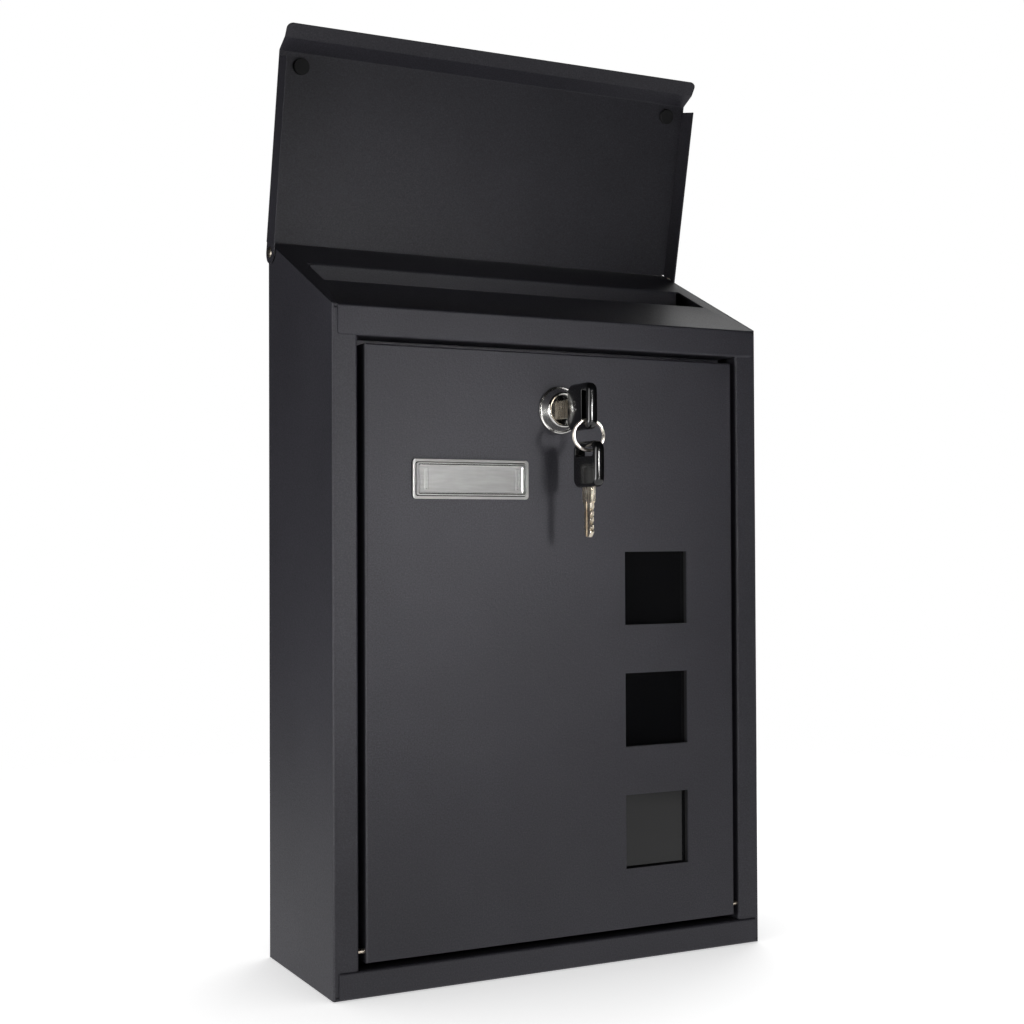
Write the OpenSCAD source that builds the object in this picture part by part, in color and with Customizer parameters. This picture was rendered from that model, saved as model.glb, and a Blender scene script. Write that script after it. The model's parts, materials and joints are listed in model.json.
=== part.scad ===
// Wall-mounted steel drop box with a sloped mail slot, a hinged weather lid,
// a bottom-hinged locking door, three small windows and a name plate.
// Millimetres. X to the right, Y towards the wall, Z up.
// The origin is the centre of the casing's underside.

/* [Casing] */
// Outside width of the casing
body_w = 225; // [200:1:260]
// Outside depth of the casing, front face to wall face
body_d = 88; // [84:1:110]
// Height of the front face
front_h = 304; // [296:1:340]
// How much higher the back is than the front
roof_rise = 42; // [38:1:46]
// Thickness of every steel sheet
sheet_t = 0.8; // [0.7:0.1:1]
// Visible width of each side stile of the front frame
stile_w = 11.9; // [11:0.1:14]
// Height of the frame's top rail
top_rail_h = 13.2; // [12:0.1:14]
// Height of the frame's bottom rail
bottom_rail_h = 12.2; // [11:0.1:13]
// Spacing of the wall holes across the back
wall_hole_dx = 150; // [100:1:180]
// Spacing of the wall holes up the back
wall_hole_dz = 220; // [150:1:240]
// Radius of each wall hole
wall_hole_r = 3; // [2.5:0.1:4]

/* [Mail slot] */
// Width of the slot
slot_w = 208; // [180:1:208]
// Length of the slot up the slope
slot_l = 26; // [18:1:30]
// Distance from the roof's front edge to the slot
slot_from_front = 37; // [34:1:40]
// Depth of the guide flap bent down at the slot's rear edge
flap_h = 22; // [12:1:26]

/* [Door] */
// Gap between the door and the frame
door_gap = 3.2; // [2.8:0.1:3.4]
// Depth of the door's folded edge
door_depth = 14.6; // [14.6:0.1:14.8]
// Height of the hinge line above the door's lower edge
pivot_up = 5; // [4.5:0.1:6]
// Distance of the hinge line behind the door's face
pivot_in = 3.4; // [3.3:0.1:3.6]
// Diameter of the door's pivot pins
door_pin_d = 2.4; // [2:0.1:2.6]
// Side of each square window
window_a = 35; // [28:1:36]
// Distance between the windows' centres
window_pitch = 58; // [52:1:58]
// Height of the lowest window's centre above the base
window_z = 61; // [58:1:62]
// Distance of the windows' centres to the right of the middle
window_x = 53; // [48:1:54]

/* [Name plate] */
// Width of the name plate
plate_w = 58.5; // [50:0.5:60]
// Height of the name plate
plate_h = 18.2; // [17:0.1:22]
// Distance of the plate's centre to the left of the middle
plate_left = 46; // [44:1:52]
// Height of the plate's centre above the base
plate_z = 228; // [222:1:232]

/* [Lock and keys] */
// Distance from the door's top edge to the lock's axis
lock_down = 26.6; // [26:0.2:30]
// Diameter of the lock's bezel
bezel_d = 22.4; // [22:0.1:24]
// Length of the cam from the lock's axis to its tip
cam_reach = 35; // [33:0.5:36]
// Length of each key's plastic bow
bow_l = 21; // [20:0.5:21]
// Width of each key's plastic bow
bow_w = 21.5; // [21:0.5:21.5]
// Thickness of each key's plastic bow
bow_t = 5.2; // [4.6:0.1:5.6]
// Outside diameter of the split ring
ring_d = 15.4; // [15:0.1:18]

/* [Lid] */
// How far the open lid leans forward from upright
lid_lean = 12.5; // [10:0.5:20]
// Length of the lid's panel from the foot of the pivot to the lip
lid_l = 95; // [93:0.5:96]
// Depth of the lid's side flanges
lid_flange_h = 10.4; // [10:0.1:11]
// Diameter of the lid's pivot pins
lid_pin_d = 3; // [2.6:0.1:3.2]

/* [Hidden] */
$fn = 48;

// Colours
POWDER = [0.22, 0.22, 0.24];
CHROME = [0.78, 0.78, 0.80];
ZINC = [0.62, 0.63, 0.66];
BRASS = [0.80, 0.68, 0.45];
BLACK = [0.05, 0.05, 0.05];
CLEAR = [0.80, 0.84, 0.86];
CARD = [0.66, 0.67, 0.68];
NYLON = [0.85, 0.85, 0.82];

// Sheet work
bend_r = sheet_t;               // centreline radius of an ordinary bend
bend_steps = 6;                 // flats that make up one bend
half_t = sheet_t / 2;
fit_gap = 0.1;                  // between panels that nest
cut = 1;                        // how far a cutter runs past a face
back_h = front_h + roof_rise;
slope = atan(roof_rise / body_d);
front_y = -body_d / 2;
back_y = body_d / 2;
side_in = body_w / 2 - sheet_t; // inner face of a side wall
back_in = back_y - sheet_t;     // inner face of the back wall
nest_x = side_in - 2 * fit_gap; // half width of the nested roof and floor
lap_in = 2.5;                   // the rails end this far inside the side walls' outer faces
lap_x = body_w / 2 - lap_in;    // half width of a rail, which laps over the stiles
stile_y = front_y + sheet_t;    // outer face of the stiles, behind the rails
stile_in = body_w / 2 - stile_w;
stile_return = 8;               // depth of the fold on each stile's inner edge
stile_end = sheet_t + bend_r;   // the stiles stop this far inside the roof and the floor
rail_return_gap = 0.8;
rail_return_x = stile_in - rail_return_gap; // half width of the rails' folds, between the stiles
strike_depth = 15.7;
strike_back_y = front_y + strike_depth; // rear face of the strike lip that the cam hooks behind
strike_h = 9;                   // how far the strike lip hangs below the top rail
nest_flange_h = 10;             // inner flanges that are welded to the walls
flange_start = 4;               // the side flanges begin this far behind the front face
roof_flange_end = 8;            // and end this far in front of the lid's pivot
floor_flange_end = 5;           // or of the wall face
floor_return = 6;               // depth of the bottom rail's upper fold
corner_clear = 2.5;             // notch in the floor for the stiles' folds
flap_root = 3;                  // length of the guide flap that lies along the roof
flap_side_gap = 1.8;            // between the flap's ends and the slot's ends
lap_round = 1.5;                // rounded lower corner of the lapped top rail
drain_r = 2.5;
drain_x = 85;
drain_y = 25;
wall_hole_z = 170;              // centre of the wall-hole pattern

// Door
door_x = stile_in - door_gap;   // half width of the door
door_drop = 0.4;                // the gap under the door is this much smaller
door_bottom = bottom_rail_h + door_gap - door_drop;
door_top = front_h - top_rail_h - door_gap;
door_h = door_top - door_bottom;
door_bend_out = 1.2;            // outer radius of the door's folds
door_pin_z = door_bottom + pivot_up;
door_pin_y = front_y + pivot_in;
run_gap = 0.05;                 // radial clearance of everything that turns
rivet_head_t = 1.1;
door_head_r = door_pin_d / 2 + 0.8;
pin_past = 0.3;                 // end play of the door on its pins

// Window pane behind its gasket, and its studs
gasket_t = 2;
window_cut_l = 2 * (sheet_t + gasket_t + cut);
pane_w = 54;
pane_end = 12.5;                // pane beyond the outer windows' edges
pane_t = 2;
stud_r = 1.5;
stud_gap = 0.2;
stud_in_x = 4;                  // the studs' axes from the pane's long edges
stud_in_z = 6;                  // and from its ends
stud_dx = pane_w / 2 - stud_in_x;
stud_past = 2.9;                // the studs stand this far out of the pane
pane_h = 2 * window_pitch + window_a + 2 * pane_end;
pane_z = window_z + window_pitch;
stud_dz = pane_h / 2 - stud_in_z;
nut_disc_r = 4;
nut_disc_t = 0.6;

// Name plate
plate_leg_x = plate_w / 2 - 5.4;
plate_leg_w = 2;
plate_leg_h = 9;
plate_leg_l = 3;
plate_leg_gap = 0.2;
plate_round = 1.6;
plate_base_t = 1.3;
plate_step_t = 2.5;
plate_ledge = 1.7;              // width of the low ledge around the raised part
plate_ridge_x = 3.7;            // the sunk window begins this far from the ends
plate_ridge_z = 3.1;            // and this far from the long edges
plate_face_t = 1.7;             // height of the recessed window over the door
plate_raised_round = 1;
plate_sunk_round = 0.6;
card_gap = 0.2;
card_t = 0.3;
card_w = 44;
card_h = 11;

// Lock, along its own axis: 0 is the door's face, positive is outwards
lock_z = door_top - lock_down;
barrel_r = 9.5;
barrel_flat = 16;               // across the two flats of the barrel
barrel_l = 15.4;
plug_r = 6;
plug_face = 4.5;                // the plug's front face
bezel_flange_t = 1.6;
bezel_top = 5.6;
bezel_top_r = 8.6;
rim_r = 6.9;
bezel_corner = 0.3;             // broken corners of the bezel
bezel_flange_fall = 0.4;        // the flange's slanted outer edge: its height
bezel_flange_in = 0.6;          // and its width
cone_foot = 1.5;                // the cone is this much wider at its foot
cone_shoulder = 0.2;            // and this much at its shoulder
cone_shoulder_down = 0.5;
cone_top_in = 0.4;
barrel_lap = 0.5;               // the barrel runs this far up into the bezel
plug_sink = 1;                  // depth of the bezel's bore below the plug's face
plug_collar_t = 0.9;
washer_t = 0.6;
lock_nut_t = 3;
lock_nut_af = 22;
lock_washer_r = 11.5;
plug_end = -15.9;               // where the plug's tail begins
tail_a = 7;                     // square tail that drives the cam
cam_t = 1.8;
tail_l = cam_t + 0.1;
cam_hub_r = 8.5;
cam_arm_w = 12;
keyway_w = 2.3;
keyway_h = 6.5;
keyway_l = 16;
wafer_n = 4;
wafer_first = 0.5;
wafer_pitch = 3;
wafer_t = 0.6;
wafer_w = 5.2;
wafer_h = 10.6;
wafer_eye_w = 2.8;
wafer_eye_h = 8;
wafer_gap = 0.1;                // on each side of a wafer in its slot
tail_gap = 0.1;                 // round the square tail in the cam
screw_r = 2;
screw_hole_l = 4.4;
screw_head_r = 3.8;
screw_head_h = 2.2;
screw_short = 0.4;              // the screw ends this far before its hole does
screw_slot_w = 0.9;
screw_slot_l = 4.2;
screw_slot_depth = 1.2;
cam_washer_r = 5;
cam_washer_t = 0.8;

// Keys, along the blade: 0 is the shoulder that meets the plug, positive is towards the bow
blade_l = 15.5;
blade_h = 6;
blade_t = 2;
tip_l = 2.4;
tip_h = 2;
groove_w = 1.2;
groove_depth = 0.4;
collar_l = 7;
collar_h = 8.4;
collar_corner = 0.8;
tang_l = 8;
tang_gap = 0.1;
bow_corner_r = 4.2;
bow_edge_r = 2;
eye_side = 3;                   // web at each end of the slot for the ring
eye_l = bow_w - 2 * eye_side;   // the slot's length, across the bow
eye_w = 4.2;
eye_round = 1;
eye_edge = 2.7;                 // web between the slot and the bow's end
bit_n = 4;
bit_first = 3;                  // the first cut from the shoulder
bit_depth = [1.3, 0.8, 1.6, 1.1];

// Split ring, hanging on the inserted key
ring_wire_r = 0.75;
ring_r = ring_d / 2 - ring_wire_r;
ring_turn = -15;                // the ring's plane, turned about the vertical
hang_gap = 0.15;
ring_in_r = ring_r - ring_wire_r;
ring_seat = sqrt(ring_in_r * ring_in_r - bow_t * bow_t / 4); // ring centre to bow edge
key_s = plug_face;              // lock-axis place of the key's shoulder
eye_s = key_s + collar_l + bow_l - eye_edge - eye_w / 2;
ring_y = front_y - eye_s;
ring_z = lock_z - eye_l / 2 - ring_seat + hang_gap;
spare_top_z = ring_z - ring_seat + hang_gap + eye_edge;

// Lid, drawn closed in the roof's own plane and then opened about its pivot
lid_pin_in = 6.5;               // the pivot from the wall face, and below the top
lid_pin_y = back_y - lid_pin_in;
lid_pin_z = back_h - lid_pin_in;
lid_pin_s = (lid_pin_y - front_y) * cos(slope) + (lid_pin_z - front_h) * sin(slope);
lid_pin_n = -(lid_pin_y - front_y) * sin(slope) + (lid_pin_z - front_h) * cos(slope);
lid_open = 90 + slope - lid_lean;
bumper_t = 2;
bumper_r = 3.9;
bumper_x = 103;
bumper_from_lip = 6.5;
lid_n = bumper_t + 0.1;         // inner face of the closed lid above the roof
lid_gap = 0.6;                  // between a side wall and a lid flange
lid_half_w = body_w / 2 + lid_gap + sheet_t;
lid_bend_s = lid_pin_s - lid_l;
lip_drop = 9;                   // the lip's first fold
lip_drop_turn = 50;             // its angle from the panel
lip_flare = 7;                  // the lip's flared edge
lip_flare_turn = 25;
lip_corner_r = 3;
lid_bend_r = 1.4;
relief_l = 3.2;                 // notch between each side flange and the lip
arm_end_r = 5.3;                // rounded end of the lid's arms, about the pivot
heel_gap = 0.15;                // between the open lid's lower edge and the roof
lid_out_n = lid_n + sheet_t - lid_pin_n;  // outer face of the lid above its pivot
// the panel ends this far before the pivot, to clear the roof when it is open
lid_heel = (heel_gap - lid_pin_n - lid_out_n * cos(lid_open)) / sin(lid_open);
lid_washer_t = 0.5;
lid_washer_r = 3.6;
lid_head_r = 2.8;
lid_tail_r = 2.1;               // the rivets' inner ends, which pass under the roof
lid_head_t = 1.1;

// A polyline with each of its corners rounded to radius r
function unit(v) = v / norm(v);
function side_of(v) = [-v[1], v[0]];
function corner_arc(a, p, b, r) =
    let (
        d0 = unit(p - a),
        d1 = unit(b - p),
        phi = atan2(d0[0] * d1[1] - d0[1] * d1[0], d0 * d1),
        way = sign(phi),
        start = p - d0 * r * tan(abs(phi) / 2),
        centre = start + side_of(d0) * way * r
    )
    [for (k = [0:bend_steps]) let (f = phi * k / bend_steps)
        centre - way * r * (side_of(d0) * cos(f) - d0 * sin(f))];
function rounded_path(pts, r) = [
    for (i = [0:len(pts) - 1])
        each (i == 0 || i == len(pts) - 1) ? [pts[i]] : corner_arc(pts[i - 1], pts[i], pts[i + 1], r)
];
// The outline of a sheet of thickness t whose middle follows the path
function miter(path, i) =
    let (
        last = len(path) - 1,
        n0 = side_of(unit(path[max(i, 1)] - path[max(i, 1) - 1])),
        n1 = side_of(unit(path[min(i, last - 1) + 1] - path[min(i, last - 1)]))
    )
    (n0 + n1) / (1 + n0 * n1);
function sheet_outline(path, t) = concat(
    [for (i = [0:len(path) - 1]) path[i] + miter(path, i) * t / 2],
    [for (i = [len(path) - 1:-1:0]) path[i] - miter(path, i) * t / 2]
);
// A point of the roof's plane: s up the slope from its front edge, n above its surface
function roof_point(s, n) = [
    front_y + s * cos(slope) - n * sin(slope),
    front_h + s * sin(slope) + n * cos(slope)
];
// The point at depth y of the line n above the roof's surface
function roof_at(y, n) = [y, front_h + (y - front_y) * tan(slope) + n / cos(slope)];
function turned(len, angle) = [-len * cos(angle), -len * sin(angle)];

// Sheet folded along a path in the XY plane, standing up
module fold_up(pts, r, z0, z1)
    translate([0, 0, z0])
        linear_extrude(z1 - z0)
            polygon(sheet_outline(rounded_path(pts, r), sheet_t));
// Sheet folded along a path in the YZ plane, running half_w to each side
module fold_across(pts, r, half_w)
    rotate([90, 0, 90])
        translate([0, 0, -half_w])
            linear_extrude(2 * half_w)
                polygon(sheet_outline(rounded_path(pts, r), sheet_t));
// Children drawn with X across, Y up the slope and Z out of the roof
module on_roof()
    translate([0, front_y, front_h])
        rotate([slope, 0, 0])
            children();
module both_sides()
    for (sx = [-1, 1])
        scale([sx, 1, 1])
            children();
// Children drawn with Z pointing out of the door on the lock's axis and Y up
module on_lock_axis()
    translate([0, front_y, lock_z])
        rotate([90, 0, 0])
            children();
module box(low, high)
    translate(low)
        cube(high - low);
module pin_x(x0, x1, r)
    translate([x0, 0, 0])
        rotate([0, 90, 0])
            cylinder(h = x1 - x0, r = r);

module casing_wrap() color(POWDER)
    difference() {
        fold_up([
            [-stile_in - half_t, stile_y + stile_return],
            [-stile_in - half_t, stile_y + half_t],
            [-body_w / 2 + half_t, stile_y + half_t],
            [-body_w / 2 + half_t, back_y - half_t],
            [body_w / 2 - half_t, back_y - half_t],
            [body_w / 2 - half_t, stile_y + half_t],
            [stile_in + half_t, stile_y + half_t],
            [stile_in + half_t, stile_y + stile_return]
        ], bend_r, 0, back_h + cut);
        // the slope of the side and back walls
        on_roof()
            box([-body_w, -body_d, 0], [body_w, 2 * body_d, body_d]);
        // the stiles stop under the roof and above the floor
        on_roof()
            box([-nest_x - fit_gap, -cut, -stile_end], [nest_x + fit_gap, body_d / 2, body_d]);
        box([-nest_x - fit_gap, front_y, -cut], [nest_x + fit_gap, 0, stile_end]);
        for (x = [-0.5, 0.5], z = [-0.5, 0.5])
            translate([x * wall_hole_dx, back_y + cut, wall_hole_z + z * wall_hole_dz])
                rotate([90, 0, 0])
                    cylinder(h = sheet_t + 2 * cut, r = wall_hole_r);
        translate([0, door_pin_y, door_pin_z])
            pin_x(-stile_in - sheet_t - cut, stile_in + sheet_t + cut, door_pin_d / 2);
        translate([0, lid_pin_y, lid_pin_z])
            pin_x(-body_w, body_w, lid_pin_d / 2);
    }

module roof_panel() color(POWDER)
    union() {
        difference() {
            fold_across([
                [strike_back_y - half_t, front_h - top_rail_h + half_t - strike_h],
                [strike_back_y - half_t, front_h - top_rail_h + half_t],
                [front_y + half_t, front_h - top_rail_h + half_t],
                roof_at(front_y + half_t, -half_t),
                roof_at(back_in - fit_gap - half_t, -half_t),
                [back_in - fit_gap - half_t, back_h - nest_flange_h - sheet_t]
            ], bend_r, nest_x);
            // the rail's ends lap over the stiles, and its folds pass between them
            both_sides() {
                box([lap_x, front_y - cut, front_h - top_rail_h - cut], [nest_x + cut, stile_y, back_h]);
                difference() {
                    box([lap_x - lap_round, front_y - cut, front_h - top_rail_h - cut],
                        [lap_x + cut, stile_y, front_h - top_rail_h + lap_round]);
                    translate([lap_x - lap_round, 0, front_h - top_rail_h + lap_round])
                        rotate([90, 0, 0])
                            cylinder(h = body_d, r = lap_round);
                }
                box([rail_return_x, stile_y, front_h - top_rail_h - strike_h - cut],
                    [nest_x + cut, 0, front_h - top_rail_h + 2 * sheet_t]);
            }
            on_roof()
                box([-slot_w / 2, slot_from_front, -2 * sheet_t],
                    [slot_w / 2, slot_from_front + slot_l, cut]);
        }
        slot_flap();
        both_sides()
            on_roof()
                box([nest_x - sheet_t, flange_start, -nest_flange_h],
                    [nest_x, lid_pin_s - roof_flange_end, -half_t]);
    }

// Guide flap bent down at the slot's rear edge
module slot_flap()
    fold_across([
        roof_point(slot_from_front + slot_l + flap_root, -half_t),
        roof_point(slot_from_front + slot_l, -half_t),
        roof_point(slot_from_front + slot_l, -half_t) - [0, flap_h]
    ], bend_r, slot_w / 2 - flap_side_gap);

module floor_panel() color(POWDER)
    difference() {
        union() {
            fold_across([
                [stile_y + floor_return, bottom_rail_h - half_t],
                [front_y + half_t, bottom_rail_h - half_t],
                [front_y + half_t, half_t],
                [back_in - fit_gap - half_t, half_t],
                [back_in - fit_gap - half_t, nest_flange_h]
            ], bend_r, nest_x);
            both_sides()
                box([nest_x - sheet_t, front_y + flange_start, half_t],
                    [nest_x, back_y - floor_flange_end, nest_flange_h]);
        }
        both_sides() {
            box([lap_x, front_y - cut, -cut], [nest_x + cut, stile_y, bottom_rail_h + cut]);
            box([rail_return_x, stile_y, sheet_t + 2 * fit_gap + half_t],
                [nest_x + cut, stile_y + corner_clear, bottom_rail_h + cut]);
            box([rail_return_x, stile_y, nest_flange_h + half_t], [nest_x + cut, 0, bottom_rail_h + cut]);
        }
        for (x = [-drain_x, drain_x], y = [-drain_y, drain_y])
            translate([x, y, -cut])
                cylinder(h = sheet_t + 2 * cut, r = drain_r);
    }

module lid_pivot_pins() color(BRASS)
    both_sides()
        translate([0, lid_pin_y, lid_pin_z]) {
            pin_x(side_in - rivet_head_t, side_in, lid_tail_r);
            pin_x(side_in - rivet_head_t, lid_half_w + run_gap + lid_head_t / 2, lid_pin_d / 2);
            translate([lid_half_w + 2 * run_gap, 0, 0])
                rotate([0, 90, 0])
                    rivet_head(lid_head_r, lid_head_t);
        }

// A low domed head, flat at 0
module rivet_head(r, h)
    rotate_extrude()
        intersection() {
            square([r, h]);
            translate([0, h - (r * r + h * h) / (2 * h)])
                circle(r = (r * r + h * h) / (2 * h), $fn = 96);
        }

module lid_pivot_washers() color(NYLON)
    both_sides()
        translate([0, lid_pin_y, lid_pin_z])
            difference() {
                pin_x(body_w / 2, body_w / 2 + lid_washer_t, lid_washer_r);
                pin_x(body_w / 2 - cut, body_w / 2 + lid_washer_t + cut, lid_pin_d / 2);
            }

module door_pivot_pins() color(BRASS)
    both_sides()
        translate([0, door_pin_y, door_pin_z]) {
            pin_x(door_x - sheet_t - pin_past, stile_in + sheet_t + rivet_head_t, door_pin_d / 2);
            pin_x(door_x - sheet_t - pin_past - rivet_head_t, door_x - sheet_t - pin_past, door_head_r);
        }

// A block from y0 back to y1 whose two front edges, at x = -half_x and half_x, are rounded
module front_rounded(half_x, y0, y1, r) {
    translate([-half_x + r, y0])
        square([2 * (half_x - r), y1 - y0]);
    translate([-half_x, y0 + r])
        square([2 * half_x, y1 - y0 - r]);
    for (sx = [-1, 1])
        translate([sx * (half_x - r), y0 + r])
            circle(r);
}
// A tray-shaped block: rounded front edges on all four sides
module tray_block(inset, y1) {
    y0 = front_y + inset;
    r = door_bend_out - inset;
    mid_z = (door_bottom + door_top) / 2;
    intersection() {
        translate([0, 0, door_bottom + inset])
            linear_extrude(door_h - 2 * inset)
                front_rounded(door_x - inset, y0, y1, r);
        translate([0, 0, mid_z])
            rotate([0, 90, 0])
                translate([0, 0, -door_x])
                    linear_extrude(2 * door_x)
                        front_rounded(door_h / 2 - inset, y0, y1, r);
    }
}

module door_panel() color(POWDER)
    difference() {
        tray_block(0, front_y + door_depth);
        tray_block(sheet_t, front_y + door_depth + cut);
        at_windows()
            cube([window_a, window_cut_l, window_a], center = true);
        on_lock_axis()
            translate([0, 0, -2 * sheet_t])
                double_d(barrel_r + fit_gap, barrel_flat + 2 * fit_gap, 4 * sheet_t);
        for (sx = [-1, 1])
            translate([sx * plate_leg_x - plate_left, front_y, plate_z])
                cube([plate_leg_w + 2 * plate_leg_gap, window_cut_l, plate_leg_h + 2 * plate_leg_gap],
                    center = true);
        translate([0, door_pin_y, door_pin_z])
            pin_x(-body_w, body_w, door_pin_d / 2 + run_gap);
    }

// A round bar with two flats, one above and one below
module double_d(r, flat, h)
    intersection() {
        cylinder(h = h, r = r);
        translate([-r - cut, -flat / 2, -cut])
            cube([2 * (r + cut), flat, h + 2 * cut]);
    }

module at_studs()
    for (x = [-stud_dx, stud_dx], z = [-stud_dz, stud_dz])
        translate([window_x + x, front_y + sheet_t, pane_z + z])
            rotate([-90, 0, 0])
                children();

// A sheet of the pane's outline on the studs, from depth d behind the door's sheet
module pane_sheet(d, t)
    difference() {
        box([window_x - pane_w / 2, front_y + sheet_t + d, pane_z - pane_h / 2],
            [window_x + pane_w / 2, front_y + sheet_t + d + t, pane_z + pane_h / 2]);
        at_studs()
            translate([0, 0, d - cut])
                cylinder(h = t + 2 * cut, r = stud_r + stud_gap);
    }

module at_windows()
    for (k = [0:2])
        translate([window_x, front_y, window_z + k * window_pitch])
            children();

module pane_gasket() color(BLACK)
    difference() {
        pane_sheet(0, gasket_t);
        at_windows()
            cube([window_a, window_cut_l, window_a], center = true);
    }

module window_pane() color(CLEAR)
    pane_sheet(gasket_t, pane_t);

module pane_studs() color(ZINC)
    at_studs()
        cylinder(h = gasket_t + pane_t + stud_past, r = stud_r);

module pane_push_nuts() color(ZINC)
    at_studs()
        translate([0, 0, gasket_t + pane_t])
            difference() {
                cylinder(h = nut_disc_t, r = nut_disc_r);
                translate([0, 0, -cut])
                    cylinder(h = nut_disc_t + 2 * cut, r = stud_r);
            }

// A plate of w by h and thickness t with round corners, lying on the door's face
module rounded_plate(w, h, r, t)
    linear_extrude(t)
        union() {
            square([w - 2 * r, h], center = true);
            square([w, h - 2 * r], center = true);
            for (sx = [-1, 1], sy = [-1, 1])
                translate([sx * (w / 2 - r), sy * (h / 2 - r)])
                    circle(r);
        }
module on_plate()
    translate([-plate_left, front_y, plate_z])
        rotate([90, 0, 0])
            children();

module nameplate_window() color(CLEAR)
    on_plate()
        difference() {
            union() {
                rounded_plate(plate_w, plate_h, plate_round, plate_base_t);
                rounded_plate(plate_w - 2 * plate_ledge, plate_h - 2 * plate_ledge,
                    plate_raised_round, plate_step_t);
                for (sx = [-1, 1])
                    translate([sx * plate_leg_x, 0, half_t - plate_leg_l / 2])
                        cube([plate_leg_w, plate_leg_h, plate_leg_l], center = true);
            }
            // the window is sunk between the ridges, and the card lies behind it
            translate([0, 0, plate_face_t])
                rounded_plate(plate_w - 2 * plate_ridge_x, plate_h - 2 * plate_ridge_z,
                    plate_sunk_round, plate_step_t);
            translate([0, 0, -cut])
                rounded_plate(card_w + 2 * card_gap, card_h + 2 * card_gap, 2 * card_gap,
                    card_t + cut + fit_gap);
        }

module nameplate_card() color(CARD)
    on_plate()
        translate([-card_w / 2, -card_h / 2, 0])
            cube([card_w, card_h, card_t]);

module lock_housing() color(CHROME)
    on_lock_axis()
        difference() {
            union() {
                rotate_extrude()
                    polygon([
                        [0, 0],
                        [bezel_d / 2 - bezel_corner, 0],
                        [bezel_d / 2, bezel_corner],
                        [bezel_d / 2, bezel_flange_t - bezel_flange_fall],
                        [bezel_d / 2 - bezel_flange_in, bezel_flange_t],
                        [bezel_top_r + cone_foot, bezel_flange_t + bezel_corner],
                        [bezel_top_r + cone_shoulder, bezel_top - cone_shoulder_down],
                        [bezel_top_r - cone_top_in, bezel_top],
                        [rim_r + bezel_corner, bezel_top],
                        [rim_r, bezel_top - bezel_corner],
                        [0, bezel_top - bezel_corner]
                    ]);
                translate([0, 0, -barrel_l])
                    double_d(barrel_r, barrel_flat, barrel_l + barrel_lap);
            }
            translate([0, 0, plug_face - plug_sink])
                cylinder(h = bezel_top, r = rim_r);
            translate([0, 0, -barrel_l - cut])
                cylinder(h = 2 * barrel_l, r = plug_r + run_gap);
        }

module lock_star_washer() color(ZINC)
    on_lock_axis()
        translate([0, 0, -sheet_t - washer_t])
            difference() {
                cylinder(h = washer_t, r = lock_washer_r);
                translate([0, 0, -cut])
                    cylinder(h = washer_t + 2 * cut, r = barrel_r + fit_gap);
            }

module lock_nut() color(ZINC)
    on_lock_axis()
        translate([0, 0, -sheet_t - washer_t - lock_nut_t])
            difference() {
                cylinder(h = lock_nut_t, r = lock_nut_af / 2 / cos(30), $fn = 6);
                translate([0, 0, -cut])
                    cylinder(h = lock_nut_t + 2 * cut, r = barrel_r + run_gap);
            }

module at_wafers()
    for (k = [0:wafer_n - 1])
        translate([0, 0, wafer_first - k * wafer_pitch])
            children();

module lock_plug() color(CHROME)
    on_lock_axis()
        difference() {
            union() {
                translate([0, 0, plug_end])
                    cylinder(h = plug_face - plug_end, r = plug_r);
                translate([0, 0, plug_face - plug_collar_t])
                    cylinder(h = plug_collar_t, r = rim_r - run_gap);
                translate([-tail_a / 2, -tail_a / 2, plug_end - tail_l])
                    cube([tail_a, tail_a, tail_l + cut]);
            }
            translate([-keyway_w / 2, -keyway_h / 2, plug_face - keyway_l])
                cube([keyway_w, keyway_h, keyway_l + cut]);
            at_wafers()
                cube([wafer_w + 2 * wafer_gap, 2 * plug_r, wafer_t + 2 * wafer_gap], center = true);
            translate([0, 0, plug_end - tail_l - cut])
                cylinder(h = screw_hole_l + cut, r = screw_r);
        }

module lock_wafers() color(BRASS)
    on_lock_axis()
        at_wafers()
            difference() {
                cube([wafer_w, wafer_h, wafer_t], center = true);
                cube([wafer_eye_w, wafer_eye_h, 2 * wafer_t], center = true);
            }

// The cam is drawn unlocked, pointing left
module lock_cam() color(ZINC)
    on_lock_axis()
        translate([0, 0, plug_end - cam_t])
            difference() {
                linear_extrude(cam_t)
                    union() {
                        circle(cam_hub_r);
                        translate([-cam_reach + cam_arm_w / 2, -cam_arm_w / 2])
                            square([cam_reach - cam_arm_w / 2, cam_arm_w]);
                        translate([-cam_reach + cam_arm_w / 2, 0])
                            circle(cam_arm_w / 2);
                    }
                translate([0, 0, cam_t / 2])
                    cube([tail_a + 2 * tail_gap, tail_a + 2 * tail_gap, 3 * cam_t], center = true);
            }

module cam_washer() color(ZINC)
    on_lock_axis()
        translate([0, 0, plug_end - tail_l - cam_washer_t])
            difference() {
                cylinder(h = cam_washer_t, r = cam_washer_r);
                translate([0, 0, -cut])
                    cylinder(h = cam_washer_t + 2 * cut, r = screw_r + fit_gap);
            }

module cam_screw() color(ZINC)
    on_lock_axis()
        translate([0, 0, plug_end - tail_l - cam_washer_t])
            difference() {
                union() {
                    translate([0, 0, -screw_head_h])
                        cylinder(h = screw_head_h, r = screw_head_r);
                    translate([0, 0, -cut])
                        cylinder(h = cam_washer_t + screw_hole_l - screw_short + cut,
                            r = screw_r - run_gap);
                }
                for (a = [0, 90])
                    rotate([0, 0, a])
                        translate([0, 0, -screw_head_h])
                            cube([screw_slot_w, screw_slot_l, 2 * screw_slot_depth], center = true);
            }

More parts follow.
